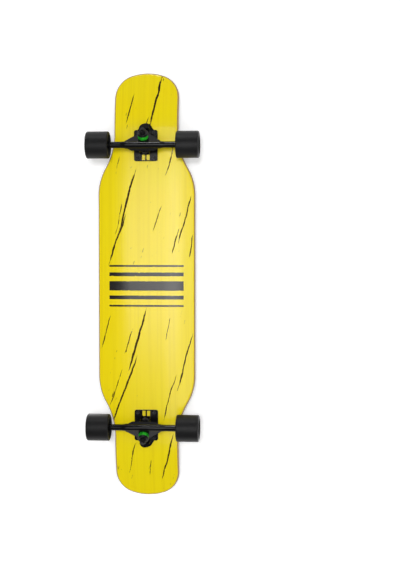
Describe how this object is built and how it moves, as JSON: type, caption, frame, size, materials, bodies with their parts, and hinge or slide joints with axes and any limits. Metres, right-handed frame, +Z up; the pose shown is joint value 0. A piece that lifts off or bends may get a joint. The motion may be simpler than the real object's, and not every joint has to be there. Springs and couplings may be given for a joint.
{
  "type": "longboard skateboard",
  "caption": "Cut-out longboard: long bent ply deck with necked, kicked ends and grip tape, on sprung tilting trucks with wide wheels on ball bearings; leans to steer and rolls.",
  "frame": {"origin": "on the floor under the middle of the deck", "axes": "+X towards the nose, +Y to the rider's left, +Z up"},
  "size_m": [1.0666, 0.277, 0.1383],
  "materials": {
    "printed_ply": "gloss yellow print with dark cracks on the underside, bare ply edge",
    "grip": "black abrasive grit",
    "black_casting": "satin black paint",
    "black_steel": "black oxide",
    "bright_steel": "turned steel",
    "bushing": "green urethane",
    "cup_plastic": "black plastic",
    "core_plastic": "black moulded plastic",
    "urethane": "glossy black urethane"
  },
  "bodies": {
    "board": {"deck": "printed_ply", "grip_tape": "grip", "mounting_bolts": "black_steel", "mounting_nuts": "black_steel", "front_baseplate": "black_casting", "front_pivot_cup": "cup_plastic", "front_kingpin": "black_steel", "front_kingpin_nut": "black_steel", "front_boardside_washer": "black_steel", "front_roadside_washer": "black_steel", "front_boardside_bushing": "bushing", "front_roadside_bushing": "bushing", "rear_baseplate": "black_casting", "rear_pivot_cup": "cup_plastic", "rear_kingpin": "black_steel", "rear_kingpin_nut": "black_steel", "rear_boardside_washer": "black_steel", "rear_roadside_washer": "black_steel", "rear_boardside_bushing": "bushing", "rear_roadside_bushing": "bushing"},
    "front_truck": {"front_hanger": "black_casting", "front_axle": "bright_steel", "front_axle_nuts": "black_steel", "front_speed_washers": "bright_steel", "front_bearing_inner_rings": "bright_steel", "front_bearing_spacers": "bright_steel"},
    "rear_truck": {"rear_hanger": "black_casting", "rear_axle": "bright_steel", "rear_axle_nuts": "black_steel", "rear_speed_washers": "bright_steel", "rear_bearing_inner_rings": "bright_steel", "rear_bearing_spacers": "bright_steel"},
    "front_left_wheel": {"front_left_tyre": "urethane", "front_left_core": "core_plastic", "front_left_bearing_outer_rings": "bright_steel", "front_left_bearing_shields": "black_steel"},
    "front_left_ball_set": {"front_left_bearing_balls": "bright_steel", "front_left_ball_cages": "bright_steel"},
    "front_right_wheel": {"front_right_tyre": "urethane", "front_right_core": "core_plastic", "front_right_bearing_outer_rings": "bright_steel", "front_right_bearing_shields": "black_steel"},
    "front_right_ball_set": {"front_right_bearing_balls": "bright_steel", "front_right_ball_cages": "bright_steel"},
    "rear_left_wheel": {"rear_left_tyre": "urethane", "rear_left_core": "core_plastic", "rear_left_bearing_outer_rings": "bright_steel", "rear_left_bearing_shields": "black_steel"},
    "rear_left_ball_set": {"rear_left_bearing_balls": "bright_steel", "rear_left_ball_cages": "bright_steel"},
    "rear_right_wheel": {"rear_right_tyre": "urethane", "rear_right_core": "core_plastic", "rear_right_bearing_outer_rings": "bright_steel", "rear_right_bearing_shields": "black_steel"},
    "rear_right_ball_set": {"rear_right_bearing_balls": "bright_steel", "rear_right_ball_cages": "bright_steel"}
  },
  "joints": [
    {"name": "front_steer", "type": "hinge", "parent": "board", "child": "front_truck", "pos_m": [0.3468, 0, 0.033], "axis": [0.7071, 0, 0.7071], "range_deg": [-20, 20], "stiffness_Nm_per_rad": 30, "deforming": ["front_boardside_bushing", "front_roadside_bushing"]},
    {"name": "rear_steer", "type": "hinge", "parent": "board", "child": "rear_truck", "pos_m": [-0.3468, 0, 0.033], "axis": [-0.7071, 0, 0.7071], "range_deg": [-20, 20], "stiffness_Nm_per_rad": 30, "deforming": ["rear_boardside_bushing", "rear_roadside_bushing"]},
    {"name": "front_left_spin", "type": "hinge", "parent": "front_truck", "child": "front_left_wheel", "pos_m": [0.3468, 0.1105, 0.033], "axis": [0, 1, 0], "continuous": true},
    {"name": "front_left_ball_roll", "type": "hinge", "parent": "front_truck", "child": "front_left_ball_set", "pos_m": [0.3468, 0.1105, 0.033], "axis": [0, 1, 0], "continuous": true},
    {"name": "front_right_spin", "type": "hinge", "parent": "front_truck", "child": "front_right_wheel", "pos_m": [0.3468, -0.1105, 0.033], "axis": [0, 1, 0], "continuous": true},
    {"name": "front_right_ball_roll", "type": "hinge", "parent": "front_truck", "child": "front_right_ball_set", "pos_m": [0.3468, -0.1105, 0.033], "axis": [0, 1, 0], "continuous": true},
    {"name": "rear_left_spin", "type": "hinge", "parent": "rear_truck", "child": "rear_left_wheel", "pos_m": [-0.3468, 0.1105, 0.033], "axis": [0, 1, 0], "continuous": true},
    {"name": "rear_left_ball_roll", "type": "hinge", "parent": "rear_truck", "child": "rear_left_ball_set", "pos_m": [-0.3468, 0.1105, 0.033], "axis": [0, 1, 0], "continuous": true},
    {"name": "rear_right_spin", "type": "hinge", "parent": "rear_truck", "child": "rear_right_wheel", "pos_m": [-0.3468, -0.1105, 0.033], "axis": [0, 1, 0], "continuous": true},
    {"name": "rear_right_ball_roll", "type": "hinge", "parent": "rear_truck", "child": "rear_right_ball_set", "pos_m": [-0.3468, -0.1105, 0.033], "axis": [0, 1, 0], "continuous": true}
  ],
  "couplings": [
    {"joint": "front_left_ball_roll", "follows": "front_left_spin", "ratio": 0.6269},
    {"joint": "front_right_ball_roll", "follows": "front_right_spin", "ratio": 0.6269},
    {"joint": "rear_left_ball_roll", "follows": "rear_left_spin", "ratio": 0.6269},
    {"joint": "rear_right_ball_roll", "follows": "rear_right_spin", "ratio": 0.6269}
  ]
}
